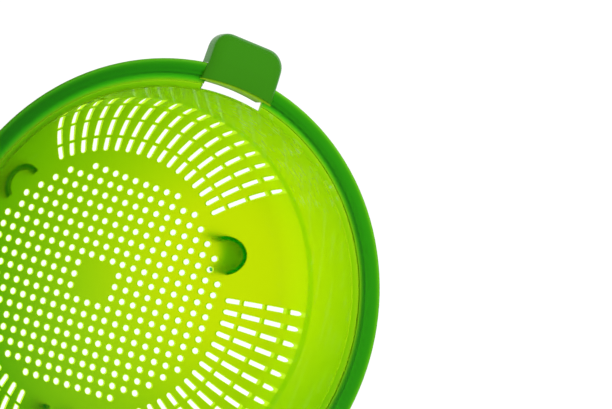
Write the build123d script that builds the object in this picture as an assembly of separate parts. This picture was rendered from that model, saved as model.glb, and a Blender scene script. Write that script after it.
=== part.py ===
from build123d import *
from math import acos, asin, atan2, ceil, cos, degrees, hypot, pi, radians, sin, sqrt, tan
import os

# Plastic colander: strainer bowl, rim ring snapped over its lip, two hooded grips clipped over the ring and
# three half-round feet. Millimetres, +Z up, origin on the bowl's axis in the plane that the feet stand on.
# The grips lie along +Y and -Y.

# Fits
seat_gap = 0.2
cut_overrun = 6.0

# Bowl shell, measured on its underside: a domed floor, a rounded corner and a sloping wall
wall = 1.4
floor_clearance = 7.0
floor_dome_radius = 153.6
floor_thickness = 1.5
floor_edge_inset = 1.3
corner_radius = 58.2
wall_slope = 82.0
wall_top = 108.0

# Lip of the bowl: a step, a sloping ledge and a recessed flange that carries the ring
step_width = 0.8
ledge_run = 2.7
ledge_rise = 2.4
seat_depth = 2.0
flange_reach = 4.4
flange_thickness = 1.6

# Holes in the floor, on a square grid whose middle nine are left out and that ends sooner along Y
hole_diameter = 3.2
hole_sides = 6
hole_pitch = 6.41
outer_column_shift = 0.45
hole_border = 2.3
hole_row_share = 1.05
blank_count = 1
border_share = 0.5

# Slots in the corner: lines of four, in groups, as shares of the corner's width in plan
slot_width = 2.5
slot_groups = 3
slot_first_angle = 90
slot_lines = 17
slot_line_angle = 5.0
slot_margin = 0.8
slot_length_shares = (0.22, 0.259, 0.198, 0.107)
slot_bridge_shares = (0.058, 0.049, 0.049)

# Rim ring
rim_diameter = 240.0
rim_edge_radius = 1.1
rim_edge_facets = 4
band_width = 10.6
band_rise = 2.0
skirt_thickness = 1.8
skirt_depth = 5.0
bead_reach = 0.5
bead_height = 1.2

# Window beside each grip
window_length = 34.2
window_reach = 6.3

# Grips
grip_wall = 2.0
grip_overhang = 16.5
grip_root_half_width = 20.3
grip_tip_half_width = 19.2
grip_corner_radius = 9.0
grip_crown_rise = 2.6
grip_tip_drop = 1.6
grip_height = 7.6
grip_edge_size = 1.8
tongue_thickness = 1.8
tongue_side_gap = 0.5
tongue_drop = 1.0
hook_reach = 3.0
hook_thickness = 1.8

# Feet
foot_names = ("foot_right", "foot_left", "foot_front")
foot_first_angle = 30
foot_offset = 0.3
foot_radius = 11.1
foot_leg = 1.5
foot_wall = 2.0
spigot_wall = 1.4
spigot_end = 10.0

# From the rim inwards
rim_radius = rim_diameter / 2
ring_inner_radius = rim_radius - band_width
ledge_radius = ring_inner_radius - seat_gap
step_radius = ledge_radius - ledge_run
wall_top_radius = step_radius - step_width + wall / sin(radians(wall_slope))

# The corner touches the dome and the wall
dome_centre_z = floor_clearance + floor_dome_radius
centre_reach = floor_dome_radius - corner_radius
wall_drop = dome_centre_z - wall_top
wall_offset = wall_top_radius * sin(radians(wall_slope)) + wall_drop * cos(radians(wall_slope))
corner_start = wall_slope - degrees(acos((wall_offset - corner_radius) / centre_reach))
corner_inner_radius = floor_dome_radius * sin(radians(corner_start))
corner_centre_r = centre_reach * sin(radians(corner_start))
corner_centre_z = dome_centre_z - centre_reach * cos(radians(corner_start))
corner_width = corner_radius * sin(radians(wall_slope)) + corner_centre_r - corner_inner_radius

floor_edge_radius = corner_inner_radius - floor_edge_inset
floor_edge_z = dome_centre_z - sqrt(floor_dome_radius**2 - floor_edge_radius**2)
floor_bulge = (floor_edge_z - floor_clearance) / floor_edge_radius**2
slot_start = corner_inner_radius + slot_margin
slot_lengths = [corner_width * share for share in slot_length_shares]
slot_bridges = [corner_width * share for share in slot_bridge_shares]


def wall_radius(z, inset=0):
    """Radius of the straight wall's outer face at height z, or of a face that lies inset inside it."""
    radius = corner_radius - inset
    start_r = corner_centre_r + radius * sin(radians(wall_slope))
    start_z = corner_centre_z - radius * cos(radians(wall_slope))
    return start_r + (z - start_z) / tan(radians(wall_slope))


ledge_top = wall_top + ledge_rise
flange_top = ledge_top - seat_depth
flange_under = flange_top - flange_thickness
flange_radius = ledge_radius + flange_reach

rim_edge_centre_r = rim_radius - rim_edge_radius
rim_edge_centre_z = ledge_top + band_rise
band_tilt = atan2(band_rise + rim_edge_radius, rim_edge_centre_r - ring_inner_radius)
skirt_inner_radius = flange_radius + seat_gap
skirt_outer_radius = skirt_inner_radius + skirt_thickness
skirt_end = flange_top - skirt_depth

window_outer_radius = wall_radius(flange_top) + window_reach
tongue_outer_radius = window_outer_radius - seat_gap
tongue_inner_radius = tongue_outer_radius - tongue_thickness
hook_top = skirt_end - seat_gap
hook_radius = tongue_outer_radius + hook_reach

grip_reach = rim_radius + grip_overhang
root_top = rim_edge_centre_z + rim_edge_radius
grip_crown = root_top + grip_crown_rise
grip_tip_top = root_top - grip_tip_drop
grip_bottom = grip_crown - grip_height - grip_wall

foot_angles = [foot_first_angle + place * 360 / len(foot_names) for place in range(len(foot_names))]
foot_circle_radius = corner_inner_radius + foot_offset
foot_lines = ceil(degrees(atan2(foot_radius, foot_circle_radius - foot_leg)) / slot_line_angle)


def section(lines):
    """Face in the XZ plane, closed by the given lines and arcs, with radius along X."""
    return Plane.XZ * make_face(lines)


def turned(lines):
    """Solid of revolution about the bowl's axis."""
    return revolve(section(lines), Axis.Z)


def prism(plan, low, high):
    """Plan sketch raised from height low to height high."""
    return extrude(Pos(0, 0, low) * plan, high - low)


def corner_slopes():
    """Slopes where the corner's flats meet: at the middle of each bridge between slots, and at the wall."""
    slopes = []
    end = slot_start
    for length, bridge in zip(slot_lengths, slot_bridges):
        end += length + bridge
        across = end - bridge / 2 - corner_centre_r
        slopes.append(degrees(asin(across / (corner_radius - wall / 2))))
    return slopes + [wall_slope]


def shell_points(inset, lift):
    """Radius and height of the corner's and wall's bends on one face of the shell.

    The face lies inset inside the underside, and lift above it where it meets the floor.
    """
    radius = corner_radius - inset
    points = [(floor_edge_radius, floor_edge_z + lift)]
    for slope in corner_slopes():
        across, down = radius * sin(radians(slope)), radius * cos(radians(slope))
        points.append((corner_centre_r + across, corner_centre_z - down))
    return points + [(wall_radius(wall_top, inset), wall_top)]


def sector(points):
    """Flat-faced sector with the given outline, as wide as the spacing of the slots' lines."""
    half_reach = rim_diameter * tan(radians(slot_line_angle / 2))
    wedge = make_face(Polyline((0, 0), (rim_diameter, -half_reach), (rim_diameter, half_reach), close=True))
    block = extrude(section(Polyline(*points, close=True)), half_reach, both=True)
    return block & prism(wedge, 0, wall_top + cut_overrun)


def slot_tools():
    """Blocks that cut one line of slots."""
    tools = []
    start = slot_start
    for length, bridge in zip(slot_lengths, [*slot_bridges, 0]):
        tools.append(prism(Pos(start + length / 2, 0) * Rectangle(length, slot_width), 0, wall_top))
        start += length + bridge
    return tools


def slotted_turns():
    """Angles of the lines of slots."""
    middle = (slot_lines - 1) / 2
    turns = [slot_first_angle + (line - middle) * slot_line_angle for line in range(slot_lines)]
    return [(turn + group * 360 / slot_groups) % 360 for group in range(slot_groups) for turn in turns]


def sectors():
    """Corner and wall of the bowl, as sectors with and without slots."""
    plain = sector(shell_points(0, 0) + shell_points(wall, floor_thickness)[::-1])
    slotted = plain - slot_tools()
    cuts = slotted_turns()
    turns = [step * slot_line_angle for step in range(round(360 / slot_line_angle))]
    return [Rot(0, 0, turn) * (slotted if turn in cuts else plain) for turn in turns]


def column_x(column):
    """Place of a column of floor holes: those beyond the first on each side stand a little closer in."""
    side = (column > 0) - (column < 0)
    shift = outer_column_shift if abs(column) > blank_count else 0
    return column * hole_pitch - side * shift


def has_hole(row, column):
    """Whether the floor has a hole at this place of its grid."""
    reach = hypot(column_x(column), row * hole_pitch * hole_row_share)
    return reach < floor_edge_radius - hole_border and max(abs(row), abs(column)) > blank_count


def cell_height(x, y, x_ends, y_ends):
    """Height of a cell's underside at x, y: the flat that meets the dome at the cell's four corners."""
    along_x = sum(x_ends) * x - x_ends[0] * x_ends[1]
    along_y = sum(y_ends) * y - y_ends[0] * y_ends[1]
    return floor_clearance + floor_bulge * (along_x + along_y)


def floor_cell(row, column):
    """Flat cell of the domed floor, bordered midway between the holes, with its hole if it has one."""
    y = row * hole_pitch
    x = column_x(column)
    x_ends = [x + (column_x(column + step) - x) * border_share for step in (-1, 1)]
    y_ends = [y + step * hole_pitch * border_share for step in (-1, 1)]

    def lifted(outline):
        starts = [edge @ 0 for edge in outline.face().outer_wire().order_edges()]
        return Wire.make_polygon([(p.X, p.Y, cell_height(p.X, p.Y, x_ends, y_ends)) for p in starts])

    middle = Pos(sum(x_ends) / 2, y)
    border = lifted(middle * Rectangle(x_ends[1] - x_ends[0], hole_pitch))
    hole = Pos(x, y) * RegularPolygon(hole_diameter / 2, hole_sides, major_radius=False)
    face = Face(border, [lifted(hole)] if has_hole(row, column) else [])
    return extrude(face, floor_thickness, dir=(0, 0, 1))


def make_floor():
    """Domed floor of flat cells, trimmed to meet the sectors."""
    reach = ceil(floor_edge_radius / hole_pitch) + 1
    places = [(row, column) for row in range(-reach, reach + 1) for column in range(-reach, reach + 1)]
    cells = [floor_cell(*place) for place in places if hypot(*place) < reach]
    sides = round(360 / slot_line_angle)
    edge = Rot(0, 0, slot_line_angle / 2) * RegularPolygon(floor_edge_radius, sides, major_radius=False)
    return cells[0].fuse(*cells[1:]) & prism(edge, 0, wall_top)


def make_lip():
    """Step, ledge and recessed flange round the wall's top, cut away beside each grip."""
    ring = turned(
        Polyline(
            (wall_radius(flange_under, wall / 2), flange_under),
            (flange_radius, flange_under),
            (flange_radius, flange_top),
            (ledge_radius, flange_top),
            (ledge_radius, ledge_top),
            (step_radius, wall_top),
            (wall_radius(wall_top, wall / 2), wall_top),
            close=True,
        )
    )
    return ring - prism(Rectangle(window_length, rim_diameter), 0, ledge_top + cut_overrun)


def foot_plan(reach, leg):
    """Half disc of radius reach with a short straight leg at each end, bulging away from the bowl's axis."""
    disc = Circle(reach) & Pos(reach, 0) * Rectangle(2 * reach, 2 * reach)
    return disc + Pos(-leg / 2, 0) * Rectangle(leg, 2 * reach)


def foot_shell(reach, thickness, low, high):
    """Half-round upright wall, open towards the bowl's axis."""
    inner = reach - thickness
    plan = foot_plan(reach, foot_leg) - foot_plan(inner, foot_leg + cut_overrun)
    return Pos(foot_circle_radius, 0, 0) * prism(plan, low, high)


def over_foot(rise):
    """Space over a foot, from the sectors' underside raised by rise up to the wall's top."""
    points = [(radius, height + rise) for radius, height in shell_points(0, 0)]
    filled = sector(points + [(floor_edge_radius, points[-1][1])])
    return [Rot(0, 0, line * slot_line_angle) * filled for line in range(-foot_lines, foot_lines + 1)]


def make_spigot(angle):
    """Half-round wall under the bowl that carries a foot."""
    reach = foot_radius - foot_wall - seat_gap
    shell = foot_shell(reach, spigot_wall, spigot_end, corner_centre_z)
    return Rot(0, 0, angle) * (shell - over_foot(wall / 2))


def make_bowl():
    """Strainer bowl with its lip, floor holes, wall slots and the three spigots that carry the feet."""
    spigots = [make_spigot(angle) for angle in foot_angles]
    return make_floor().fuse(*sectors(), make_lip(), *spigots)


def make_foot(angle):
    """Half-round foot that goes over its spigot and meets the bowl's underside."""
    shell = foot_shell(foot_radius, foot_wall, 0, corner_centre_z)
    return Rot(0, 0, angle) * (shell - over_foot(-seat_gap))


def ring_edge(gap):
    """Points of the ring's rounded edge, or of a face that lies gap outside it, from below to above."""
    reach = rim_edge_radius + gap
    turns = [band_tilt + pi * (step / rim_edge_facets - 1 / 2) for step in range(rim_edge_facets + 1)]
    return [(rim_edge_centre_r + reach * cos(turn), rim_edge_centre_z + reach * sin(turn)) for turn in turns]


def ring_outline():
    """Outline of the ring: sloping band with a rounded edge, and a skirt with a bead round the flange."""
    edge = ring_edge(0)
    run = edge[0][0] - skirt_outer_radius
    bead_top = flange_under - seat_gap
    bead_radius = skirt_inner_radius - bead_reach
    return [
        (ring_inner_radius, ledge_top),
        (ring_inner_radius, flange_top),
        (skirt_inner_radius, flange_top),
        (skirt_inner_radius, bead_top),
        (bead_radius, bead_top),
        (bead_radius, bead_top - bead_height / 2),
        (skirt_inner_radius, bead_top - bead_height),
        (skirt_inner_radius, skirt_end),
        (skirt_outer_radius, skirt_end),
        (skirt_outer_radius, edge[0][1] - run * tan(band_tilt)),
        *edge,
    ]


def make_rim_ring():
    """Ring snapped over the bowl's flange, notched at each grip."""
    plan = Circle(window_outer_radius) & Rectangle(window_length, rim_diameter)
    notch = prism(plan, flange_top - cut_overrun, ledge_top + cut_overrun)
    return turned(Polyline(*ring_outline(), close=True)) - notch


def grip_plan(inset):
    """Plan of a grip's hood, drawn in by inset at its sides and tip."""
    root, tip = grip_root_half_width - inset, grip_tip_half_width - inset
    reach = grip_reach - inset
    root_y = sqrt(tongue_inner_radius**2 - grip_root_half_width**2)
    hood = make_face(Polyline((-root, root_y), (root, root_y), (tip, reach), (-tip, reach), close=True))
    return fillet(hood.vertices().sort_by(Axis.Y)[-2:], grip_corner_radius - inset)


def grip_side(drop):
    """Side view of a grip's hood, its arched top lowered by drop."""
    inner_y, outer_y = tongue_inner_radius - cut_overrun, grip_reach + cut_overrun
    low = grip_bottom - (cut_overrun if drop else 0)
    crown = (rim_radius, grip_crown - drop)
    top = ThreePointArc((inner_y, root_top - drop), crown, (outer_y, grip_tip_top - drop))
    edge = Polyline(top @ 1, (outer_y, low), (inner_y, low), top @ 0)
    return Plane.YZ * make_face([top, edge])


def grip_block(drop, plan):
    """Block under the arched top, lowered by drop, that fills the plan."""
    side = extrude(grip_side(drop), grip_root_half_width, both=True)
    return side & prism(plan, 0, grip_crown + cut_overrun)


def tongue():
    """Upright tongue through the window, with a hook under the ring's skirt."""
    half = window_length / 2 - tongue_side_gap
    side = Pos(0, rim_radius) * Rectangle(2 * half, rim_diameter)
    upright = (Circle(tongue_outer_radius) - Circle(tongue_inner_radius)) & side
    hook = (Circle(hook_radius) - Circle(tongue_inner_radius)) & side
    low = hook_top - hook_thickness
    return prism(upright, low, root_top - tongue_drop) + prism(hook, low, hook_top)


def ring_clearance():
    """The ring's band and edge with the seat gap all round, cleared from the grip down to the window."""
    low = grip_bottom - cut_overrun
    inner = tongue_inner_radius - cut_overrun
    edge = ring_edge(seat_gap)
    nose = max(edge)
    above = [point for point in edge if point[1] > nose[1]]
    top = (inner, ledge_top + seat_gap)
    return turned(Polyline((inner, low), (nose[0], low), nose, *above, top, close=True))


def make_grip(turn):
    """Hooded grip: shell, cross wall that bears on the ring's edge, and tongue with its hook."""
    hood = grip_block(0, grip_plan(0) - Circle(tongue_inner_radius))
    roof = hood.faces().sort_by(Axis.Z)[-1]
    hood = chamfer(roof.edges().sort_by(Axis.Y)[1:], grip_edge_size)
    bearing = Circle(rim_radius + seat_gap + grip_wall) - Circle(rim_radius)
    hollow = grip_block(grip_wall, grip_plan(grip_wall) - Circle(tongue_outer_radius) - bearing)
    return Rot(0, 0, turn) * (hood - hollow - ring_clearance() + tongue())


def main():
    os.makedirs("parts", exist_ok=True)
    export_step(make_bowl(), "parts/bowl.step")
    export_step(make_rim_ring(), "parts/rim_ring.step")
    export_step(make_grip(0), "parts/handle_back.step")
    export_step(make_grip(180), "parts/handle_front.step")
    for name, angle in zip(foot_names, foot_angles):
        export_step(make_foot(angle), f"parts/{name}.step")


main()
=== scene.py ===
import math
from collections import defaultdict
from itertools import product

import bmesh
import bpy
from mathutils import Matrix, Vector
from mathutils.geometry import delaunay_2d_cdt


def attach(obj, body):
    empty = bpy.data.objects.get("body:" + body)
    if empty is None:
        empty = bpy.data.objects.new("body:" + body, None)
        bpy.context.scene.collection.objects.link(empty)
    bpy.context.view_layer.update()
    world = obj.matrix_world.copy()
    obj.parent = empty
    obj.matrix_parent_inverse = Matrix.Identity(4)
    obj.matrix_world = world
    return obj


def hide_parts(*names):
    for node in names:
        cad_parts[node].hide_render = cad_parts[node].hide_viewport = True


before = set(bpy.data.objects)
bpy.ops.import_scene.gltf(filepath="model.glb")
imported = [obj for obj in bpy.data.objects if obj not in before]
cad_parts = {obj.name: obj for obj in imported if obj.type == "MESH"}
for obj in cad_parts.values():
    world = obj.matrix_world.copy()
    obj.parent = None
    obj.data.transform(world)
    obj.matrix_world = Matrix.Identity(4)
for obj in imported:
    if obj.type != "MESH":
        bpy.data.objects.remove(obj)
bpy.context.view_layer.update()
MM = 0.001

# Shell, in millimetres: the same sizes as the solid, with round curves in place of its flats
RIM_RADIUS = 120.0
BAND_WIDTH = 10.6
SEAT_GAP = 0.2
WALL = 1.4
DOME_RADIUS = 153.6
DOME_CENTRE_Z = 7.0 + DOME_RADIUS
CORNER_RADIUS = 58.2
WALL_SLOPE = math.radians(82)
WALL_TOP = 108.0

# Lip
STEP_WIDTH = 0.8
LEDGE_RUN = 2.7
LEDGE_RISE = 2.4
SEAT_DEPTH = 2.0
FLANGE_REACH = 4.4
FLANGE_THICKNESS = 1.6
LIP_ROUNDING = (0, 0.4, 0.3, 0.2, 0.45, 0.35, 0)
WINDOW_HALF = 17.1

# Floor holes
HOLE_RADIUS = 1.6
HOLE_PITCH = 6.41
OUTER_COLUMN_SHIFT = 0.45
HOLE_BORDER = 3.6
HOLE_ROW_SHARE = 1.05
BLANK_COUNT = 1
HOLE_STEPS = 20

# Wall slots
SLOT_WIDTH = 2.5
SLOT_GROUPS = (90, 210, 330)
SLOT_LINES = 17
SLOT_LINE_ANGLE = 5
SLOT_MARGIN = 0.8
SLOT_LENGTH_SHARES = (0.22, 0.259, 0.198, 0.107)
SLOT_BRIDGE_SHARES = (0.058, 0.049, 0.049)
SLOT_CORNER = 0.35
SLOT_SIDE_STEPS = 5
SLOT_CORNER_STEPS = 4

# Feet and the spigots that carry them
FOOT_ANGLES = {"foot_right": 30, "foot_left": 150, "foot_front": 270}
FOOT_OFFSET = 0.3
FOOT_RADIUS = 11.1
FOOT_WALL = 2.0
FOOT_ROUND = 0.4
FOOT_STEPS = 28
SPIGOT_WALL = 1.4
SPIGOT_END = 10.0

# Grips
GRIP_WALL = 2.0
GRIP_REACH = 136.5
GRIP_ROOT_HALF = 20.3
GRIP_TIP_HALF = 19.2
GRIP_CORNER = 9.0
GRIP_HEIGHT = 9.6
CROWN_RISE = 2.6
TIP_DROP = 1.6
CROWN_MARGIN = 6.0

# Rows of the grip's upper edge: inset, depth below the roof, and inset at the root
GRIP_EDGE = ((0, 2.6, 0), (0.15, 2.0, 0.1), (0.6, 1.5, 0.3), (3.2, 0, 0.8))
GRIP_SIDE_STEPS = 5
GRIP_TIP_STEPS = 8
GRIP_CORNER_STEPS = 8

# Tongue and hook of the grips, and the ring that they hold
WINDOW_REACH = 6.3
TONGUE_THICKNESS = 1.8
TONGUE_HALF = 16.6
TONGUE_DROP = 1.0
HOOK_REACH = 3.0
HOOK_THICKNESS = 1.8
SKIRT_DEPTH = 5.0
BAND_RISE = 2.0
RIM_EDGE_RADIUS = 1.1

# Mesh
EDGE_ROUND = 0.3
PERFORATED_RADIUS = 100.8
RING_SPACING = 2.4
STEEP_RING_SHARE = 0.25
POINT_SPACING = 3.2
FEWEST_RING_POINTS = 8
TOUCHING = 1e-5
COLUMNS_LONG = 132
COLUMNS_NOTCH = 12
CLEARANCE = 0.55
CORNER_ROWS = 6
WALL_ROWS = 8
SMOOTH_ANGLE = math.radians(35)
WELD = 0.004
WELD_OVERLAP = 0.25

# Places worked out from the sizes above
LEDGE_RADIUS = RIM_RADIUS - BAND_WIDTH - SEAT_GAP
STEP_RADIUS = LEDGE_RADIUS - LEDGE_RUN
WALL_TOP_RADIUS = STEP_RADIUS - STEP_WIDTH + WALL / math.sin(WALL_SLOPE)
LEDGE_TOP = WALL_TOP + LEDGE_RISE
FLANGE_TOP = LEDGE_TOP - SEAT_DEPTH
FLANGE_UNDER = FLANGE_TOP - FLANGE_THICKNESS
FLANGE_RADIUS = LEDGE_RADIUS + FLANGE_REACH
CENTRE_REACH = DOME_RADIUS - CORNER_RADIUS
WALL_DROP = (DOME_CENTRE_Z - WALL_TOP) * math.cos(WALL_SLOPE)
WALL_OFFSET = WALL_TOP_RADIUS * math.sin(WALL_SLOPE) + WALL_DROP
CORNER_START = WALL_SLOPE - math.acos((WALL_OFFSET - CORNER_RADIUS) / CENTRE_REACH)
CORNER_INNER_RADIUS = DOME_RADIUS * math.sin(CORNER_START)
CORNER_CENTRE_R = CENTRE_REACH * math.sin(CORNER_START)
CORNER_CENTRE_Z = DOME_CENTRE_Z - CENTRE_REACH * math.cos(CORNER_START)
CORNER_WIDTH = CORNER_RADIUS * math.sin(WALL_SLOPE) + CORNER_CENTRE_R - CORNER_INNER_RADIUS
SLOT_START = CORNER_INNER_RADIUS + SLOT_MARGIN
SLOT_LENGTHS = [CORNER_WIDTH * share for share in SLOT_LENGTH_SHARES]
SLOT_BRIDGES = [CORNER_WIDTH * share for share in SLOT_BRIDGE_SHARES]
FOOT_CIRCLE = CORNER_INNER_RADIUS + FOOT_OFFSET

BAND_TOP = LEDGE_TOP + BAND_RISE + RIM_EDGE_RADIUS
BAND_SLOPE = (BAND_RISE + RIM_EDGE_RADIUS) / (BAND_WIDTH - RIM_EDGE_RADIUS)
CROWN_TOP = BAND_TOP + CROWN_RISE
GRIP_BOTTOM = CROWN_TOP - GRIP_HEIGHT


# Profile of the shell
def surface(radius, inset):
    """Height and slope of the shell's face at this radius."""
    dome = DOME_RADIUS - inset
    corner = CORNER_RADIUS - inset
    if radius <= dome * math.sin(CORNER_START):
        slope = math.asin(radius / dome)
        return DOME_CENTRE_Z - dome * math.cos(slope), slope
    across = (radius - CORNER_CENTRE_R) / corner
    if across <= math.sin(WALL_SLOPE):
        slope = math.asin(across)
        return CORNER_CENTRE_Z - corner * math.cos(slope), slope
    start = CORNER_CENTRE_R + corner * math.sin(WALL_SLOPE)
    low = CORNER_CENTRE_Z - corner * math.cos(WALL_SLOPE)
    return low + (radius - start) * math.tan(WALL_SLOPE), WALL_SLOPE


def wall_radius(z, inset):
    """Radius of the straight wall's face at this height."""
    corner = CORNER_RADIUS - inset
    start = CORNER_CENTRE_R + corner * math.sin(WALL_SLOPE)
    low = CORNER_CENTRE_Z - corner * math.cos(WALL_SLOPE)
    return start + (z - low) / math.tan(WALL_SLOPE)


# Welded mesh
def turn_outward(mesh):
    """Turns all faces of a closed mesh outward."""
    work = bmesh.new()
    work.from_mesh(mesh)
    bmesh.ops.recalc_face_normals(work, faces=work.faces)
    work.to_mesh(mesh)
    work.free()


class Skin:
    """Collects faces by their corners' places and normals, and welds corners that meet."""

    def __init__(self):
        self.index = {}
        self.places = []
        self.faces = []
        self.normals = []
        self.finish = 0
        self.finishes = []

    def corner(self, place):
        """Number of the corner at this place, or of a known one within about WELD of it.

        Corners are filed by the cells of a grid, and each cell reaches a little into the next ones.
        """
        cells = [value / WELD for value in place]
        spans = [{round(cell - WELD_OVERLAP), round(cell + WELD_OVERLAP)} for cell in cells]
        keys = list(product(*spans))
        known = [self.index[key] for key in keys if key in self.index]
        if known:
            return known[0]
        self.index.update((key, len(self.places)) for key in keys)
        self.places.append(Vector(place) * MM)
        return len(self.places) - 1

    def face(self, places, normals=None):
        """Adds a face, without corners that weld to the one before."""
        corners = [self.corner(p) for p in places]
        kept = [k for k in range(len(corners)) if corners[k] != corners[k - 1]]
        if len(kept) > 2:
            self.faces.append([corners[k] for k in kept])
            self.normals += [normals[k] for k in kept] if normals else []
            self.finishes.append(self.finish)

    def strip(self, lower, upper, closed=False):
        """Quads between two rows of (place, normal); seen from outside, the rows run to the left."""
        count = len(lower)
        for k in range(count if closed else count - 1):
            n = (k + 1) % count
            quad = (lower[k], lower[n], upper[n], upper[k])
            self.face([place for place, _ in quad], [normal for _, normal in quad])

    def build(self, name):
        """Makes the object, with the collected normals or else with normals smooth over small bends."""
        mesh = bpy.data.meshes.new(name)
        mesh.from_pydata(self.places, [], self.faces)
        mesh.polygons.foreach_set("use_smooth", [True] * len(mesh.polygons))
        mesh.polygons.foreach_set("material_index", self.finishes)
        if self.normals:
            mesh.normals_split_custom_set([tuple(n) for n in self.normals])
        else:
            turn_outward(mesh)
            mesh.set_sharp_from_angle(angle=SMOOTH_ANGLE)
        piece = bpy.data.objects.new(name, mesh)
        bpy.context.scene.collection.objects.link(piece)
        return piece


# Outlines of (radius, height)
def with_normals(points):
    """Runs of (radius, z, normal out, normal up) along an outline with its material on the left.

    The normals turn smoothly through small bends, and a new run starts at each sharp one.
    """
    steps = [Vector((b[0] - a[0], b[1] - a[1])).normalized() for a, b in zip(points, points[1:])]
    sides = [Vector((step.y, -step.x)) for step in steps]
    runs = [[(*points[0], *sides[0])]]
    for point, before, after in zip(points[1:], sides, sides[1:]):
        if before.angle(after) < SMOOTH_ANGLE:
            runs[-1].append((*point, *(before + after).normalized()))
        else:
            runs[-1].append((*point, *before))
            runs.append([(*point, *after)])
    runs[-1].append((*points[-1], *sides[-1]))
    return runs


def rounded(points, radii, steps=4):
    """Outline with its bends rounded by the given radii, one for each point."""
    out = [points[0]]
    for k in range(1, len(points) - 1):
        out += rounded_bend(*points[k - 1 : k + 2], radii[k], steps) if radii[k] else [points[k]]
    return out + [points[-1]]


def rounded_bend(last, point, following, radius, steps):
    """Points of an arc in place of one bend."""
    here = Vector(point)
    to_last = (Vector(last) - here).normalized()
    to_next = (Vector(following) - here).normalized()
    half = to_last.angle(to_next) / 2
    reach = radius / math.tan(half)
    centre = here + (to_last + to_next).normalized() * radius / math.sin(half)
    arm = here + to_last * reach - centre
    turn = arm.angle_signed(here + to_next * reach - centre)
    return [tuple(centre + Matrix.Rotation(-turn * k / steps, 2) @ arm) for k in range(steps + 1)]


# Lathe whose columns keep the windows' ends straight
def polar(radius, angle, z):
    """Place at an angle clockwise from +Y."""
    return (radius * math.sin(angle), radius * math.cos(angle), z)


def column_angles(radius):
    """Angles clockwise from +Y of the columns, the same number of them at every radius."""
    end = math.asin(WINDOW_HALF / radius)
    angles = []
    for half_turn in (0, math.pi):
        angles += [half_turn + end * (2 * k / COLUMNS_NOTCH - 1) for k in range(COLUMNS_NOTCH)]
        angles += [half_turn + end + (math.pi - 2 * end) * k / COLUMNS_LONG for k in range(COLUMNS_LONG)]
    return angles


def lathe_row(radius, z, n_out, n_up, column_radius):
    """One row of (place, normal) round the axis."""
    row = []
    for angle in column_angles(column_radius):
        normal = Vector((math.sin(angle) * n_out, math.cos(angle) * n_out, n_up))
        row.append((polar(radius, angle, z), normal))
    return row


def lathe(skin, profile, inner_columns, spans=("notch", "long"), flip=False):
    """Faces of a lathed profile over the chosen spans of columns.

    Up to the radius inner_columns the columns stand as they do at that radius.
    """
    rows = [lathe_row(*point, max(point[0], inner_columns)) for point in profile]
    period = COLUMNS_NOTCH + COLUMNS_LONG
    for low, high in zip(rows, rows[1:]):
        for k in range(2 * period):
            if ("notch" if k % period < COLUMNS_NOTCH else "long") in spans:
                n = (k + 1) % (2 * period)
                quad = (low[n], low[k], high[k], high[n])
                quad = quad[::-1] if flip else quad
                skin.face([place for place, _ in quad], [normal for _, normal in quad])


# Openings of the bowl
def has_hole(row, column, x):
    """Whether the floor has a hole at this place of its grid; rows count as a little farther out."""
    reach = math.hypot(x, row * HOLE_PITCH * HOLE_ROW_SHARE)
    inside = reach < CORNER_INNER_RADIUS - HOLE_BORDER
    return inside and max(abs(row), abs(column)) > BLANK_COUNT


def hole_places():
    """Plan places of the floor holes."""
    places = []
    reach = math.ceil(CORNER_INNER_RADIUS / HOLE_PITCH)
    for row in range(-reach, reach + 1):
        for column in range(-reach, reach + 1):
            shift = OUTER_COLUMN_SHIFT if abs(column) > BLANK_COUNT else 0
            x = column * HOLE_PITCH - math.copysign(shift, column)
            if has_hole(row, column, x):
                places.append(Vector((x, row * HOLE_PITCH)))
    return places


def hole_loop(centre, grow):
    """Circle in plan, anticlockwise."""
    turns = [2 * math.pi * k / HOLE_STEPS for k in range(HOLE_STEPS)]
    return [centre + Vector((math.cos(t), math.sin(t))) * (HOLE_RADIUS + grow) for t in turns]


def corner_arc(x, y, towards, radius, first):
    """Quarter circle that rounds the corner at x, y of a slot whose middle is at towards."""
    centre = Vector((x - math.copysign(radius, x - towards), y - math.copysign(radius, y)))
    turns = [math.radians(first + 90 * step / SLOT_CORNER_STEPS) for step in range(SLOT_CORNER_STEPS + 1)]
    return [centre + Vector((math.cos(t), math.sin(t))) * radius for t in turns]


def side_points(start, end):
    """Points between the arcs along a slot's side."""
    return [start.lerp(end, step / SLOT_SIDE_STEPS) for step in range(1, SLOT_SIDE_STEPS)]


def slot_loop(start, length, turn, ends, grow):
    """Slot in plan along a line from the axis, anticlockwise, with the corner radii of its two ends."""
    half = SLOT_WIDTH / 2 + grow
    low, high = start - grow, start + length + grow
    middle = (low + high) / 2
    inner, outer = (min(radius + grow, half) for radius in ends)
    far = corner_arc(high, -half, middle, outer, -90) + corner_arc(high, half, middle, outer, 0)
    near = corner_arc(low, half, middle, inner, 90) + corner_arc(low, -half, middle, inner, 180)
    loop = far + side_points(far[-1], near[0]) + near + side_points(near[-1], far[0])
    spin = Matrix.Rotation(math.radians(turn), 2)
    return [spin @ point for point in loop]


def slot_list():
    """Start, length, turn and end radii of each slot."""
    slots = []
    middle = (SLOT_LINES - 1) / 2
    last = len(SLOT_LENGTHS) - 1
    for group, line in product(SLOT_GROUPS, range(SLOT_LINES)):
        turn = group + (line - middle) * SLOT_LINE_ANGLE
        start = SLOT_START
        for k, length in enumerate(SLOT_LENGTHS):
            ends = (SLOT_CORNER if k else SLOT_WIDTH / 2, SLOT_CORNER if k < last else SLOT_WIDTH / 2)
            slots.append((start, length, turn, ends))
            start += length + (SLOT_BRIDGES[k] if k < last else 0)
    return slots


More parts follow.
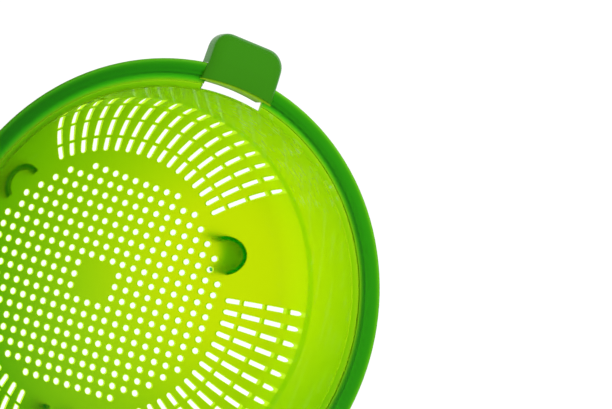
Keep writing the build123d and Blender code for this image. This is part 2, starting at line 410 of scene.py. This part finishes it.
# Perforated part of the bowl
def near_slot(point, turn, spans):
    """Whether a mesh point stands too near to the slots of one line."""
    off = math.radians((math.degrees(math.atan2(point.y, point.x)) - turn + 180) % 360 - 180)
    margin = EDGE_ROUND + CLEARANCE
    along, aside = point.length * math.cos(off), abs(point.length * math.sin(off))
    if along < 0 or aside > SLOT_WIDTH / 2 + margin:
        return False
    return any(low - margin < along < high + margin for low, high in spans)


def stands_clear(point, holes, lines):
    """Whether a mesh point stands clear of every hole and slot."""
    if point.length < SLOT_START - 2 * CLEARANCE:
        return all((point - hole).length > HOLE_RADIUS + EDGE_ROUND + CLEARANCE for hole in holes)
    return not any(near_slot(point, turn, spans) for turn, spans in lines.items())


def ring_points(radius):
    """Mesh points evenly spaced round one ring."""
    count = max(FEWEST_RING_POINTS, round(2 * math.pi * radius / POINT_SPACING))
    turns = [2 * math.pi * (k + 0.5) / count for k in range(count)]
    return [Vector((math.cos(t), math.sin(t))) * radius for t in turns]


def free_points(holes, slots):
    """Mesh points between the openings, on rings evenly spaced along the profile."""
    lines = defaultdict(list)
    for start, length, turn, _ in slots:
        lines[turn].append((start, start + length))
    points = [Vector((0, 0))]
    radius = RING_SPACING
    while radius < PERFORATED_RADIUS - CLEARANCE:
        points += [p for p in ring_points(radius) if stands_clear(p, holes, lines)]
        slope = surface(radius, WALL / 2)[1]
        radius += RING_SPACING * max(math.cos(slope), STEEP_RING_SHARE)
    return points


def triangles_between(loops, border, free):
    """Plan points and triangles that fill the border outside the loops."""
    points, edges, owners = [], [], []
    for mark, loop in enumerate([*loops, border]):
        first, count = len(points), len(loop)
        points += loop
        owners += [mark] * count
        edges += [(first + k, first + (k + 1) % count) for k in range(count)]
    owners += [-1] * len(free)
    made, _, triangles, sources, _, _ = delaunay_2d_cdt(points + free, edges, [], 0, TOUCHING)
    marks = [owners[source[0]] if source else -1 for source in sources]
    kept = [t for t in triangles if marks[t[0]] < 0 or len({marks[k] for k in t}) > 1]
    return made, kept


def lifted(point, inset, rise=0.0):
    """Place and outward normal on the shell's face over a plan point."""
    z, slope = surface(point.length, inset)
    out = point.normalized()
    sign = -1 if inset else 1
    normal = Vector((*(out * math.sin(slope)), -math.cos(slope))) * sign
    return (point.x, point.y, z + rise), normal


def opening_walls(skin, outer, inner):
    """Wall of one opening, with its edges rounded to both faces of the shell."""
    centre = sum(inner, Vector((0, 0))) / len(inner)
    facing = [Vector((*(centre - p), 0)).normalized() for p in inner]
    under = [lifted(p, 0) for p in outer]
    low = [(lifted(p, 0, EDGE_ROUND)[0], n) for p, n in zip(inner, facing)]
    high = [(lifted(p, WALL, -EDGE_ROUND)[0], n) for p, n in zip(inner, facing)]
    inside = [lifted(p, WALL) for p in outer]
    for lower, upper in ((under, low), (low, high), (high, inside)):
        skin.strip(lower[::-1], upper[::-1], closed=True)


def perforated_faces(skin):
    """Both faces of the perforated part and the walls of its openings."""
    holes, slots = hole_places(), slot_list()
    outers, inners = (
        [hole_loop(hole, grow) for hole in holes] + [slot_loop(*slot, grow) for slot in slots]
        for grow in (EDGE_ROUND, 0)
    )
    angles = column_angles(wall_radius(WALL_TOP, 0))
    border = [Vector(polar(PERFORATED_RADIUS, angle, 0)[:2]) for angle in angles]
    points, triangles = triangles_between(outers, border, free_points(holes, slots))
    for inset in (0, WALL):
        lifts = [lifted(point, inset) for point in points]
        for a, b, c in triangles:
            order = (a, b, c) if inset else (a, c, b)
            skin.face([lifts[k][0] for k in order], [lifts[k][1] for k in order])
    # The openings' walls take the second material, which paints a glow on them
    skin.finish = 1
    for outer, inner in zip(outers, inners):
        opening_walls(skin, outer, inner)
    skin.finish = 0


# Wall and lip of the bowl
def wall_profile(inset, top):
    """Profile of one face up to the given height, for the lathe.

    It starts at the perforated part's border, or at the corner's end where that is lower.
    """
    sign = -1 if inset else 1
    corner = CORNER_RADIUS - inset
    first = surface(PERFORATED_RADIUS, inset)[1]
    rows = []
    for k in range(CORNER_ROWS + 1):
        slope = first + (WALL_SLOPE - first) * k / CORNER_ROWS
        radius = CORNER_CENTRE_R + corner * math.sin(slope)
        z = CORNER_CENTRE_Z - corner * math.cos(slope)
        rows.append((radius, z, sign * math.sin(slope), -sign * math.cos(slope)))
    low = rows[-1][1]
    for k in range(1, WALL_ROWS + 1):
        z = low + (top - low) * k / WALL_ROWS
        rows.append((wall_radius(z, inset), z, sign * math.sin(WALL_SLOPE), -sign * math.cos(WALL_SLOPE)))
    return rows


def lip_outline():
    """Outline of the lip from the wall's outer face at the flange to the wall's inner face at its top."""
    points = [
        (wall_radius(FLANGE_UNDER, 0), FLANGE_UNDER),
        (FLANGE_RADIUS, FLANGE_UNDER),
        (FLANGE_RADIUS, FLANGE_TOP),
        (LEDGE_RADIUS, FLANGE_TOP),
        (LEDGE_RADIUS, LEDGE_TOP),
        (STEP_RADIUS, WALL_TOP),
        (wall_radius(WALL_TOP, WALL), WALL_TOP),
    ]
    return rounded(points, LIP_ROUNDING)


def window_ends(skin, outline, grid):
    """End faces of the lip at its two windows."""
    period = COLUMNS_NOTCH + COLUMNS_LONG
    closed = outline[:-1] + [(grid, WALL_TOP)]
    for k in (0, COLUMNS_NOTCH, period, period + COLUMNS_NOTCH):
        places = [polar(radius, column_angles(max(radius, grid))[k], z) for radius, z in closed]
        normal = Vector((-math.copysign(1, places[0][0]), 0, 0))
        skin.face(places[::-1] if k % period else places, [normal] * len(places))


def lip_faces(skin):
    """Lip with a window at each grip, where only the wall's top is left."""
    grid = wall_radius(WALL_TOP, 0)
    outline = lip_outline()
    for run in with_normals(outline):
        lathe(skin, run, grid, spans=("long",))
    for run in with_normals([outline[0], (grid, WALL_TOP), *outline[-2:]]):
        lathe(skin, run, grid, spans=("notch",))
    window_ends(skin, outline, grid)


# Half-round walls under the bowl
def half_wall_section(place, thickness, low, rise):
    """Outline round a half-round wall's section at one angle, from the middle of its lower end."""
    outer, inner = place.length, place.length - thickness
    spots = [place.normalized() * reach + Vector((FOOT_CIRCLE, 0)) for reach in (outer, inner)]
    outer_top, inner_top = (surface(spot.length, 0)[0] + rise for spot in spots)
    middle = ((outer + inner) / 2, low)
    points = [middle, (outer, low), (outer, outer_top), (inner, inner_top), (inner, low), middle]
    return rounded(points, (0, FOOT_ROUND, FOOT_ROUND, FOOT_ROUND, FOOT_ROUND, 0))


def half_wall(skin, angle, reach, thickness, low, rise):
    """Half-round upright wall, open towards the bowl's axis, up to rise above the bowl's underside."""
    spin = Matrix.Rotation(math.radians(angle), 3, "Z")
    columns = []
    for step in range(FOOT_STEPS + 1):
        turn = math.pi * (step / FOOT_STEPS - 1 / 2)
        out = Vector((math.cos(turn), math.sin(turn)))
        column = []
        for run in with_normals(half_wall_section(out * reach, thickness, low, rise)):
            for radius, z, n_out, n_up in run:
                place = spin @ Vector((FOOT_CIRCLE + out.x * radius, out.y * radius, z))
                column.append((tuple(place), spin @ Vector((out.x * n_out, out.y * n_out, n_up))))
        columns.append(column)
    for first, second in zip(columns, columns[1:]):
        skin.strip(second, first)
    for end in (columns[0], columns[-1][::-1]):
        skin.face([place for place, _ in end], [spin @ Vector((-1, 0, 0))] * len(end))


def make_bowl():
    """Strainer bowl: perforated floor and corner, straight wall, lip with its windows, and spigots."""
    skin = Skin()
    perforated_faces(skin)
    grid = wall_radius(WALL_TOP, 0)
    lathe(skin, wall_profile(0, FLANGE_UNDER), grid)
    lathe(skin, wall_profile(WALL, WALL_TOP), grid, flip=True)
    lip_faces(skin)
    for angle in FOOT_ANGLES.values():
        half_wall(skin, angle, FOOT_RADIUS - FOOT_WALL - SEAT_GAP, SPIGOT_WALL, SPIGOT_END, WALL / 2)
    return skin.build("bowl_shell")


# Grips
TONGUE_OUTER = wall_radius(FLANGE_TOP, 0) + WINDOW_REACH - SEAT_GAP
TONGUE_INNER = TONGUE_OUTER - TONGUE_THICKNESS


def circle_through(first, middle, last):
    """Centre and radius of the circle through three points."""
    (ax, ay), (bx, by), (cx, cy) = first, middle, last
    twice = 2 * (ax * (by - cy) + bx * (cy - ay) + cx * (ay - by))
    a, b, c = ax**2 + ay**2, bx**2 + by**2, cx**2 + cy**2
    x = (a * (by - cy) + b * (cy - ay) + c * (ay - by)) / twice
    y = (a * (cx - bx) + b * (ax - cx) + c * (bx - ax)) / twice
    return Vector((x, y)), math.dist((x, y), first)


ARCH_CENTRE, ARCH_RADIUS = circle_through(
    (TONGUE_INNER - CROWN_MARGIN, BAND_TOP),
    (RIM_RADIUS, CROWN_TOP),
    (GRIP_REACH + CROWN_MARGIN, BAND_TOP - TIP_DROP),
)


def roof_height(y):
    """Height of the grip's arched roof."""
    return ARCH_CENTRE.y + math.sqrt(ARCH_RADIUS**2 - (y - ARCH_CENTRE.x) ** 2)


def seat_height(radius):
    """Height of the grip's underside over the ring."""
    rise = (radius - LEDGE_RADIUS - SEAT_GAP) * BAND_SLOPE
    return SEAT_GAP + min(LEDGE_TOP + rise, BAND_TOP)


def on_circle(x, radius):
    """Plan point at this x and this distance from the bowl's axis, on the grip's side."""
    return Vector((x, math.sqrt(radius**2 - x**2)))


def hood_side(inset, root_inset):
    """Plan points of the hood's left side and corner, from the root to the tip, drawn in by the insets."""
    root, tip = GRIP_ROOT_HALF - inset, GRIP_TIP_HALF - inset
    start = on_circle(-root, TONGUE_INNER + root_inset)
    corners = [start, (-tip, GRIP_REACH - inset), (0, GRIP_REACH - inset)]
    arc = rounded([tuple(c) for c in corners], (0, GRIP_CORNER - inset, 0), GRIP_CORNER_STEPS)[1:-1]
    seat = on_circle(-(root + tip) / 2, RIM_RADIUS + SEAT_GAP)
    arc = [Vector(point) for point in arc]
    over = [start.lerp(seat, k / GRIP_SIDE_STEPS) for k in range(GRIP_SIDE_STEPS + 1)]
    beyond = [seat.lerp(arc[0], k / GRIP_SIDE_STEPS) for k in range(GRIP_SIDE_STEPS)]
    return over + beyond + arc


def hood_outline(inset, root_inset):
    """Plan points round the hood from one root corner to the other."""
    side = hood_side(inset, root_inset)
    mirrored = [Vector((-point.x, point.y)) for point in side[::-1]]
    tip = [side[-1].lerp(mirrored[0], k / GRIP_TIP_STEPS) for k in range(1, GRIP_TIP_STEPS)]
    return side + tip + mirrored


def hood_bottom(inset):
    """Places along the hood's lower edge: over the ring it follows the ring, and beyond it is level."""
    outline = hood_outline(inset, inset)
    over = GRIP_SIDE_STEPS + 1
    row = []
    for k, point in enumerate(outline):
        seated = k < over or k >= len(outline) - over
        row.append((*point, seat_height(point.length) if seated else GRIP_BOTTOM))
    return row


def hood_row(inset, drop, root_inset):
    """Places round the hood at this depth below its roof."""
    return [(*point, roof_height(point.y) - drop) for point in hood_outline(inset, root_inset)]


def across(row, radius, height):
    """Places between the ends of a row round the hood, on a circle about the bowl's axis."""
    left, right = row[0][0], row[-1][0]
    places = []
    for k in range(GRIP_TIP_STEPS + 1):
        point = on_circle(left + (right - left) * k / GRIP_TIP_STEPS, radius)
        places.append((*point, height(point)))
    return places


def seat_row(row, radius):
    """Places across the root at the height of the grip's seat."""
    return across(row, radius, lambda point: seat_height(point.length))


def roof_row(row, radius, drop):
    """Places across the root at this depth below the roof."""
    return across(row, radius, lambda point: roof_height(point.y) - drop)


def bowed_row(left, bow, drop):
    """Places from one on the left side to its mirror image, bowed outward, at this depth below the roof."""
    places = []
    for step in range(GRIP_TIP_STEPS + 1):
        part = step / GRIP_TIP_STEPS
        x = left[0] * (1 - 2 * part)
        y = left[1] + bow * (1 - (2 * part - 1) ** 2)
        places.append((x, y, roof_height(y) - drop))
    return places


def bare_strip(skin, lower, upper, flip=False):
    """Quads between two rows of places."""
    for a, b, c, d in zip(lower, lower[1:], upper[1:], upper):
        skin.face((d, c, b, a) if flip else (a, b, c, d))


def roof_faces(skin, row, drop, root_radius, flip=False):
    """Roof between the two sides of a row round the hood, with its first edge on the root's circle."""
    side = len(hood_side(0, 0))
    bow = root_radius - on_circle(row[0][0], root_radius).y
    rows = [roof_row(row, root_radius, drop)]
    for k in range(1, side - 1):
        rows.append(bowed_row(row[k], bow * max(0, 1 - k / GRIP_SIDE_STEPS), drop))
    rows.append(row[side - 1 : side + GRIP_TIP_STEPS])
    for first, second in zip(rows, rows[1:]):
        bare_strip(skin, first, second, flip)


def root_faces(skin, outside, inside):
    """Closed root of the hood: its back, its lower face, and its front with the rounded edge."""
    root = seat_row(outside[0], TONGUE_INNER)
    back = seat_row(inside[1], TONGUE_INNER + GRIP_WALL)
    ceiling = roof_row(inside[0], TONGUE_INNER + GRIP_WALL, GRIP_WALL)
    front = []
    for row, (_, drop, root_inset) in zip(outside[1:], GRIP_EDGE):
        front.append(roof_row(row, TONGUE_INNER + root_inset, drop))
    for lower, upper in ((back, root), (root, front[0]), (ceiling, back), *zip(front, front[1:])):
        bare_strip(skin, lower, upper)


def hood_faces(skin):
    """Hood: outer walls with their rounded upper edge, inner walls, roof, ceiling and root."""
    outside = [hood_bottom(0)] + [hood_row(*edge) for edge in GRIP_EDGE]
    inside = [hood_row(GRIP_WALL, GRIP_WALL, GRIP_WALL), hood_bottom(GRIP_WALL)]
    for lower, upper in zip([inside[1]] + outside, outside):
        bare_strip(skin, lower, upper, flip=True)
    bare_strip(skin, inside[0], inside[1], flip=True)
    roof_faces(skin, outside[-1], 0, TONGUE_INNER + GRIP_EDGE[-1][2], flip=True)
    roof_faces(skin, inside[0], GRIP_WALL, TONGUE_INNER + GRIP_WALL)
    root_faces(skin, outside, inside)


def rib_faces(skin, outline, half):
    """Rib of the given section of (radius, height), bent round the bowl's axis, half to each side."""
    columns = []
    for k in range(COLUMNS_NOTCH + 1):
        x = half * (2 * k / COLUMNS_NOTCH - 1)
        columns.append([(*on_circle(x, radius), z) for radius, z in outline])
    for first, second in zip(columns, columns[1:]):
        bare_strip(skin, first + first[:1], second + second[:1])
    skin.face(columns[0][::-1])
    skin.face(columns[-1])


def make_grip(name, turn):
    """Hooded grip with the tongue that hooks under the ring and the rib that bears on its edge."""
    skin = Skin()
    hood_faces(skin)
    hook_top = FLANGE_TOP - SKIRT_DEPTH - SEAT_GAP
    hook_low, hook_out = hook_top - HOOK_THICKNESS, TONGUE_OUTER + HOOK_REACH
    tongue_top, rib_top = BAND_TOP - TONGUE_DROP, CROWN_TOP - GRIP_WALL
    tongue = [(TONGUE_INNER, hook_low), (hook_out, hook_low), (hook_out, hook_top)]
    tongue += [(TONGUE_OUTER, hook_top), (TONGUE_OUTER, tongue_top), (TONGUE_INNER, tongue_top)]
    rib_faces(skin, tongue, TONGUE_HALF)
    near, far = RIM_RADIUS + SEAT_GAP, RIM_RADIUS + SEAT_GAP + GRIP_WALL
    rib = [(near, GRIP_BOTTOM), (far, GRIP_BOTTOM), (far, rib_top), (near, rib_top)]
    rib_faces(skin, rib, TONGUE_HALF)
    grip = skin.build(name + "_shell")
    grip.data.transform(Matrix.Rotation(math.radians(turn), 4, "Z"))
    return grip


def make_foot(name):
    """Half-round foot, pressed over its spigot."""
    skin = Skin()
    half_wall(skin, FOOT_ANGLES[name], FOOT_RADIUS, FOOT_WALL, 0, -SEAT_GAP)
    return skin.build(name + "_shell")


# Tints of the materials by the distance from the bowl's axis, in metres
# Ring: its own deep green in the middle, with painted light, paler and yellower, towards its inner and
# outer edges
RING_TINTS_PAINTED_EDGE_LIGHT = (
    (0.1092, (0.800, 0.950, 0.001)),
    (0.1101, (0.450, 0.900, 0.001)),
    (0.1111, (0.160, 0.850, 0.001)),
    (0.1120, (0.085, 0.660, 0.001)),
    (0.1130, (0.052, 0.500, 0.001)),
    (0.1150, (0.046, 0.460, 0.001)),
    (0.1169, (0.050, 0.460, 0.001)),
    (0.1178, (0.068, 0.500, 0.001)),
    (0.1187, (0.140, 0.630, 0.002)),
    (0.1198, (0.330, 0.780, 0.006)),
)
# Bowl: lime plastic with painted shade and light, darker over the floor, lighter up the wall, a darker band
# at the wall's top, paler over ledge and flange
LIME_TINTS_PAINTED_SHADE_AND_LIGHT = (
    (0.0940, (0.600, 0.810, 0.001)),
    (0.1000, (0.720, 0.950, 0.001)),
    (0.1060, (0.700, 0.940, 0.001)),
    (0.1068, (0.620, 0.900, 0.001)),
    (0.1092, (0.750, 0.970, 0.010)),
    (0.1110, (0.850, 0.980, 0.100)),
)
# Grips: painted glow, pale yellow-green on the tongue and the hood's inner end, then the grips' own dark
# green
GRIP_TINTS_PAINTED_GLOW = (
    (0.1116, (0.500, 0.900, 0.010)),
    (0.1121, (0.046, 0.300, 0.001)),
)
# Painted glow on the openings' walls: a yellow-green colour, also given off as light
EDGE_GLOW_TINT = (0.58, 0.84, 0.02)
EDGE_GLOW = 0.5
FOOT_TINT = (0.004, 0.50, 0.001)

# Surface of the plastic
CLOUD_TINT = (0.94, 0.95, 0.95)
CLOUD_SCALE = 9
GRAIN_SCALE = 900
GRAIN_STRENGTH = 0.03
GRAIN_DEPTH = 0.0002
GRIP_SHINE = 0.7
GRIP_SHINE_START = (0.1120, 0.1124)

# Painted glints: short pale dashes on the upper wall in place of reflections, in metres
GLINT_TINT = (0.85, 0.98, 0.55)
MARK_STRENGTH = 0.9
MARK_DIRECTION = (0.37, 0.93, 0)
MARK_FACING = (0.90, 0.96)
MARK_HEIGHTS = (0.070, 0.080)
MARK_WALL_RADIUS = 0.1
MARK_FLATNESS = 4
MARK_SCALE = 130
MARK_LEVELS = (0.60, 0.63)


# Materials
class Shade:
    """One material's nodes."""

    def __init__(self, name):
        self.material = bpy.data.materials.new(name)
        self.material.use_nodes = True
        self.nodes = self.material.node_tree.nodes
        self.links = self.material.node_tree.links
        self.shader = self.nodes["Principled BSDF"]
        self.place = self.node("TexCoord").outputs["Object"]

    def node(self, kind, inputs=None, **settings):
        """New node with its settings and its inputs, each a value or another node's output."""
        node = self.nodes.new("ShaderNode" + kind)
        for name, value in settings.items():
            setattr(node, name, value)
        for name, value in (inputs or {}).items():
            self.feed(node, name, value)
        return node

    def feed(self, node, name, value):
        """Gives one input its value or its link."""
        if isinstance(value, bpy.types.NodeSocket):
            self.links.new(value, node.inputs[name])
        else:
            node.inputs[name].default_value = value

    def tint(self, colour):
        """One even colour."""
        node = self.node("RGB")
        node.outputs[0].default_value = (*colour, 1)
        return node.outputs[0]

    def math(self, operation, *values):
        """Result of an operation on numbers."""
        return self.node("Math", dict(enumerate(values)), operation=operation).outputs[0]

    def vector(self, operation, *values, output=0):
        """Result of an operation on vectors."""
        return self.node("VectorMath", dict(enumerate(values)), operation=operation).outputs[output]

    def noise(self, place, scale, detail=2.0):
        """Soft random pattern."""
        return self.node("TexNoise", {"Vector": place, "Scale": scale, "Detail": detail}).outputs[0]

    def span(self, value, low, high):
        """Value as its share of the way from low to high, held within 0 and 1."""
        inputs = {"Value": value, "From Min": low, "From Max": high}
        return self.node("MapRange", inputs).outputs["Result"]

    def ramp(self, value, stops):
        """Colour for the value, blended between the stops."""
        low, high = stops[0][0], stops[-1][0]
        node = self.node("ValToRGB", {"Fac": self.span(value, low, high)})
        elements = node.color_ramp.elements
        while len(elements) < len(stops):
            elements.new(0.5)
        for element, (at, colour) in zip(elements, stops):
            element.position = (at - low) / (high - low)
            element.color = (*colour, 1)
        return node.outputs["Color"]

    def blend(self, share, first, second):
        """Colour between two."""
        inputs = {"Factor": share, "A": first, "B": second}
        return self.node("Mix", inputs, data_type="RGBA").outputs["Result"]

    def bump(self, height, strength, distance):
        """Normal of a relief."""
        inputs = {"Height": height, "Strength": strength, "Distance": distance}
        return self.node("Bump", inputs).outputs[0]


def axis_distance(shade):
    """Distance from the bowl's axis."""
    return shade.vector("LENGTH", shade.vector("MULTIPLY", shade.place, (1, 1, 0)), output="Value")


def clouded(shade, colour):
    """Colour with slow variation in its depth."""
    darker = shade.vector("MULTIPLY", colour, CLOUD_TINT)
    return shade.blend(shade.noise(shade.place, CLOUD_SCALE), darker, colour)


def painted_glints(shade, colour):
    """Colour with painted glints: short pale level dashes on the upper wall beside one window, in place of
    reflections.
    """
    axes = shade.node("SeparateXYZ", {"Vector": shade.place})
    x, y, z = (axes.outputs[k] for k in range(3))
    along = shade.math("MULTIPLY", shade.math("ARCTAN2", y, x), MARK_WALL_RADIUS)
    level = shade.node("CombineXYZ", {"X": along, "Z": shade.math("MULTIPLY", z, MARK_FLATNESS)})
    dashes = shade.span(shade.noise(level.outputs[0], MARK_SCALE, detail=1), *MARK_LEVELS)
    towards = shade.vector("NORMALIZE", shade.vector("MULTIPLY", shade.place, (1, 1, 0)))
    facing = shade.vector("DOT_PRODUCT", towards, MARK_DIRECTION, output="Value")
    where = shade.math("MULTIPLY", shade.span(facing, *MARK_FACING), shade.span(z, *MARK_HEIGHTS))
    share = shade.math("MULTIPLY", shade.math("MULTIPLY", dashes, where), MARK_STRENGTH)
    return shade.blend(share, colour, (*GLINT_TINT, 1))


def plastic(shade, colour, clearness, roughness, shine, glow=0.0):
    """Frosted moulded plastic that lets light through by its clearness, under a smooth shiny skin."""
    grain = shade.noise(shade.place, GRAIN_SCALE)
    values = {
        "Base Color": colour,
        "Transmission Weight": clearness,
        "IOR": 1.2,
        "Roughness": roughness,
        "Coat Weight": shine,
        "Coat Roughness": 0.05,
        "Coat IOR": 1.5,
        "Emission Strength": glow,
        "Normal": shade.bump(grain, GRAIN_STRENGTH, GRAIN_DEPTH),
    }
    for name, value in values.items():
        shade.feed(shade.shader, name, value)
    return shade.material


def lime_plastic():
    """Clear lime plastic of the bowl, with painted shade and light by the distance from its axis, and
    painted glints on the upper wall.
    """
    shade = Shade("lime_plastic")
    tint = shade.ramp(axis_distance(shade), LIME_TINTS_PAINTED_SHADE_AND_LIGHT)
    colour = painted_glints(shade, clouded(shade, tint))
    return plastic(shade, colour, clearness=1.0, roughness=0.6, shine=0.2)


def lime_edge_painted_glow():
    """Walls of the openings, with a painted glow: a pale yellow-green colour that also gives off light, in
    place of light coming through the plastic's edges.
    """
    shade = Shade("lime_edge_painted_glow")
    tint = shade.tint(EDGE_GLOW_TINT)
    shade.feed(shade.shader, "Emission Color", tint)
    return plastic(shade, clouded(shade, tint), clearness=0.0, roughness=0.5, shine=0.0, glow=EDGE_GLOW)


def ring_plastic():
    """Green plastic of the ring, with painted light: paler and yellower towards its two edges, where light
    comes through thinner plastic.
    """
    shade = Shade("ring_plastic")
    tint = shade.ramp(axis_distance(shade), RING_TINTS_PAINTED_EDGE_LIGHT)
    return plastic(shade, clouded(shade, tint), clearness=0.9, roughness=0.5, shine=0.0)


def grip_plastic():
    """Green plastic of the grips, with painted light: pale yellow-green on the tongue and the hood's inner
    end at the window.
    """
    shade = Shade("grip_plastic")
    tint = shade.ramp(axis_distance(shade), GRIP_TINTS_PAINTED_GLOW)
    beyond = shade.span(axis_distance(shade), *GRIP_SHINE_START)
    shine = shade.math("MULTIPLY", beyond, GRIP_SHINE)
    return plastic(shade, clouded(shade, tint), clearness=0.2, roughness=0.5, shine=shine)


def foot_plastic():
    """Clear green plastic of the feet."""
    shade = Shade("foot_plastic")
    colour = clouded(shade, shade.tint(FOOT_TINT))
    return plastic(shade, colour, clearness=1.0, roughness=0.4, shine=0.2)


def dress(piece, *materials):
    """Gives the piece these materials, which its faces number from 0."""
    finishes = [face.material_index for face in piece.data.polygons]
    piece.data.materials.clear()
    for material in materials:
        piece.data.materials.append(material)
    top = len(materials) - 1
    piece.data.polygons.foreach_set("material_index", [min(finish, top) for finish in finishes])


# Pieces
def place_bowl():
    """Bowl in place of its solid."""
    bowl = make_bowl()
    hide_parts("bowl")
    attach(bowl, "root")
    dress(bowl, lime_plastic(), lime_edge_painted_glow())


def place_feet():
    """Feet in place of their solids."""
    foot_green = foot_plastic()
    for name in FOOT_ANGLES:
        foot = make_foot(name)
        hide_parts(name)
        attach(foot, "root")
        dress(foot, foot_green)


def place_grips():
    """Grips in place of their solids."""
    grip_green = grip_plastic()
    for name, turn in (("handle_back", 0), ("handle_front", 180)):
        grip = make_grip(name, turn)
        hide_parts(name)
        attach(grip, "root")
        dress(grip, grip_green)


# Floor, light and camera, in metres
# Painted pool of light on the floor, seen only through the plastic: white at LIGHT_SPOT, dimmer and greener
# farther off
LIGHT_SPOT = (0.075, 0.030, 0)
LIGHT_FALL = (
    (0, (1, 1, 1)),
    (0.035, (0.97, 0.99, 0.9)),
    (0.060, (0.72, 0.89, 0.7)),
    (0.080, (0.56, 0.80, 0.5)),
    (0.100, (0.41, 0.70, 0.4)),
    (0.120, (0.30, 0.61, 0.3)),
    (0.140, (0.18, 0.51, 0.2)),
    (0.150, (0.14, 0.45, 0.2)),
    (0.170, (0.09, 0.34, 0.1)),
    (0.200, (0.04, 0.25, 0.1)),
)
SKY_LIGHT = 0.9
SKY_THROUGH_PLASTIC = 0.3
SKY_IN_REFLECTIONS = 0.03
FLOOR_WHITE = 1.08
FLOOR_SHARE = 0.9
FLOOR_TINT = (0.8, 0.8, 0.8, 1)
FLOOR_ROUGHNESS = 0.9
FLOOR_SIZE = 12
FLOOR_GAP = 0.0005
SOFTBOX_PLACE = (0.5, 0.6, 1.1)
SOFTBOX_TARGET = (0, 0, 0.05)
CAMERA_PLACE = (-0.3724, -0.0163, 0.9970)
CAMERA_BACK = (-0.4347, -0.0869, 0.8964)
CAMERA_RIGHT = (0.8425, 0.3123, 0.4389)


def floor_material():
    """Pale floor, white to the camera, that keeps the object's shadow; to rays through the plastic it shows
    a painted pool of light, white round LIGHT_SPOT and dimmer and greener farther off.
    """
    shade = Shade("floor")
    shade.feed(shade.shader, "Base Color", FLOOR_TINT)
    shade.feed(shade.shader, "Roughness", FLOOR_ROUGHNESS)
    white = shade.node("Emission", {"Strength": FLOOR_WHITE})
    away = shade.vector("DISTANCE", shade.place, LIGHT_SPOT, output="Value")
    glow = shade.node("Emission", {"Color": shade.ramp(away, LIGHT_FALL)})
    path = shade.node("LightPath").outputs
    seen = shade.math("MAXIMUM", path["Is Camera Ray"], path["Is Glossy Ray"])
    share = shade.math("MULTIPLY", seen, FLOOR_SHARE)
    lit = shade.node("MixShader", {0: share, 1: shade.shader.outputs[0], 2: white.outputs[0]})
    through = path["Is Transmission Ray"]
    mixed = shade.node("MixShader", {0: through, 1: lit.outputs[0], 2: glow.outputs[0]})
    shade.links.new(mixed.outputs[0], shade.nodes["Material Output"].inputs["Surface"])
    shade.material.cycles.emission_sampling = "NONE"
    return shade.material


def make_floor():
    """Wide level floor just under the feet."""
    bpy.ops.mesh.primitive_plane_add(size=FLOOR_SIZE, location=(0, 0, -FLOOR_GAP))
    floor = bpy.context.object
    floor.name = "floor"
    dress(floor, floor_material())


def make_sky():
    """Even white surroundings, dark in reflections."""
    world = bpy.data.worlds.new("studio")
    bpy.context.scene.world = world
    world.use_nodes = True
    world.cycles.sampling_method = "NONE"
    nodes, links = world.node_tree.nodes, world.node_tree.links
    background = nodes["Background"]
    background.inputs["Color"].default_value = (1, 1, 1, 1)
    path = nodes.new("ShaderNodeLightPath").outputs
    levels = {"Is Transmission Ray": SKY_THROUGH_PLASTIC, "Is Glossy Ray": SKY_IN_REFLECTIONS}
    level = None
    for ray, strength in levels.items():
        choice = nodes.new("ShaderNodeMapRange")
        choice.inputs["To Min"].default_value = SKY_LIGHT
        choice.inputs["To Max"].default_value = strength
        links.new(path[ray], choice.inputs["Value"])
        if level:
            links.new(level, choice.inputs["To Min"])
        level = choice.outputs["Result"]
    links.new(level, background.inputs["Strength"])


def make_softbox():
    """Large soft light from behind and above."""
    lamp = bpy.data.lights.new("softbox", "AREA")
    lamp.energy = 6
    lamp.size = 0.9
    softbox = bpy.data.objects.new("softbox", lamp)
    softbox.visible_glossy = False
    softbox.location = SOFTBOX_PLACE
    aim = Vector(SOFTBOX_TARGET) - softbox.location
    softbox.rotation_euler = aim.to_track_quat("-Z", "Y").to_euler()
    bpy.context.scene.collection.objects.link(softbox)


def make_camera():
    """Camera solved from the photograph's hole grid and rim circle."""
    data = bpy.data.cameras.new("camera")
    data.sensor_width = 36
    data.lens = 113.52
    data.clip_end = 20
    camera = bpy.data.objects.new("camera", data)
    back = Vector(CAMERA_BACK).normalized()
    upward = back.cross(Vector(CAMERA_RIGHT)).normalized()
    right = upward.cross(back)
    turn = Matrix((right, upward, back)).transposed().to_4x4()
    camera.matrix_world = Matrix.Translation(CAMERA_PLACE) @ turn
    bpy.context.scene.collection.objects.link(camera)
    bpy.context.scene.camera = camera


place_bowl()
place_feet()
dress(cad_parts["rim_ring"], ring_plastic())
place_grips()
make_floor()
make_sky()
make_softbox()
make_camera()
bpy.context.scene.view_settings.view_transform = "Standard"
